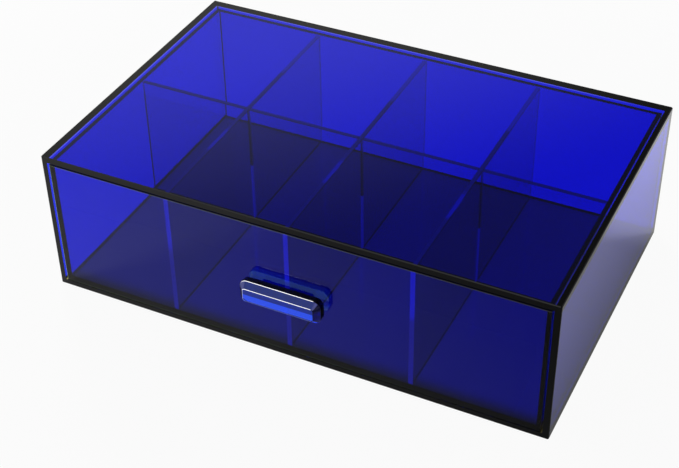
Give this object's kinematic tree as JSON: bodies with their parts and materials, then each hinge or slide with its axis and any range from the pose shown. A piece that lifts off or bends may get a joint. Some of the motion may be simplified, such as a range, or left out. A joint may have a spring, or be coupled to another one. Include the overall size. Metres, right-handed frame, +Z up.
{
  "type": "tea bag drawer box",
  "caption": "Low see-through acrylic chest with one full-width drawer, parted into cells for wrapped tea bags and opened by a bevelled pull.",
  "frame": {"origin": "middle of the case's footprint, on the surface that the box stands on", "axes": "+X to the right across the front, +Y from the open front to the back, +Z up"},
  "size_m": [0.33, 0.2222, 0.099],
  "materials": {
    "case_acrylic": "see-through blue acrylic sheet, polished, with cut edges that look almost black",
    "drawer_acrylic": "see-through blue acrylic sheet, polished, with cut edges that look almost black",
    "divider_acrylic": "see-through blue acrylic sheet, polished, with darker cut edges",
    "handle_acrylic": "see-through blue acrylic block, polished, with bright bevel lines"
  },
  "bodies": {
    "case": {"case_bottom": "case_acrylic", "case_top": "case_acrylic", "case_left_side": "case_acrylic", "case_right_side": "case_acrylic", "case_back": "case_acrylic"},
    "drawer": {"drawer_front": "drawer_acrylic", "drawer_left_side": "drawer_acrylic", "drawer_right_side": "drawer_acrylic", "drawer_back": "drawer_acrylic", "drawer_bottom": "drawer_acrylic", "long_divider": "divider_acrylic", "cross_divider_1": "divider_acrylic", "cross_divider_2": "divider_acrylic", "cross_divider_3": "divider_acrylic", "handle_neck": "handle_acrylic", "handle_plate": "handle_acrylic"}
  },
  "joints": [
    {"name": "drawer_slide", "type": "slide", "parent": "case", "child": "drawer", "axis": [0, -1, 0], "range_m": [0, 0.195]}
  ]
}
